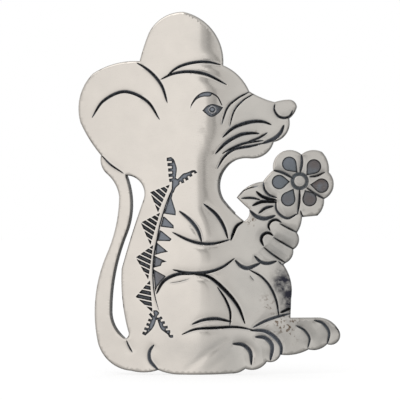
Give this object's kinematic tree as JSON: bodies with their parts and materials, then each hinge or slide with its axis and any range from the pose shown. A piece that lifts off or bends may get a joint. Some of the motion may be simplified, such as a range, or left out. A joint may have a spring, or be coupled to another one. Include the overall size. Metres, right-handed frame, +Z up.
{
  "type": "mouse brooch",
  "caption": "Flat sawn silver brooch of a sitting mouse in profile holding a flower, chased and stamped on the front, with a hinged pin and turning safety catch behind.",
  "frame": {"origin": "on the centre line of the pin, halfway between its hinge and its catch", "axes": "+X to the right seen from the front, from the pin's hinge to its point; +Y out of the back; +Z up, to the top of the ears"},
  "size_m": [0.0461, 0.0064, 0.0633],
  "materials": {
    "silver_plate": "polished silver, finely scratched, blackened in the chased lines and stamped pits",
    "silver_fitting": "satin silver",
    "solder": "matte",
    "pin_wire": "polished nickel silver"
  },
  "bodies": {
    "brooch": {"mouse_plate": "silver_plate", "joint_patch": "silver_fitting", "joint_solder": "solder", "joint_ears": "silver_fitting", "joint_rivet": "pin_wire", "catch_patch": "silver_fitting", "catch_solder": "solder", "catch_body": "silver_fitting"},
    "pin": {"pin_stem": "pin_wire"},
    "rotor": {"catch_rotor": "silver_fitting"}
  },
  "joints": [
    {"name": "pin_hinge", "type": "hinge", "parent": "brooch", "child": "pin", "pos_m": [-0.01137, 0, 0], "axis": [0, 0, 1], "range_deg": [0, 110]},
    {"name": "rotor_turn", "type": "hinge", "parent": "brooch", "child": "rotor", "pos_m": [0.01137, 0, 0], "axis": [1, 0, 0], "range_deg": [-90, 0]}
  ]
}
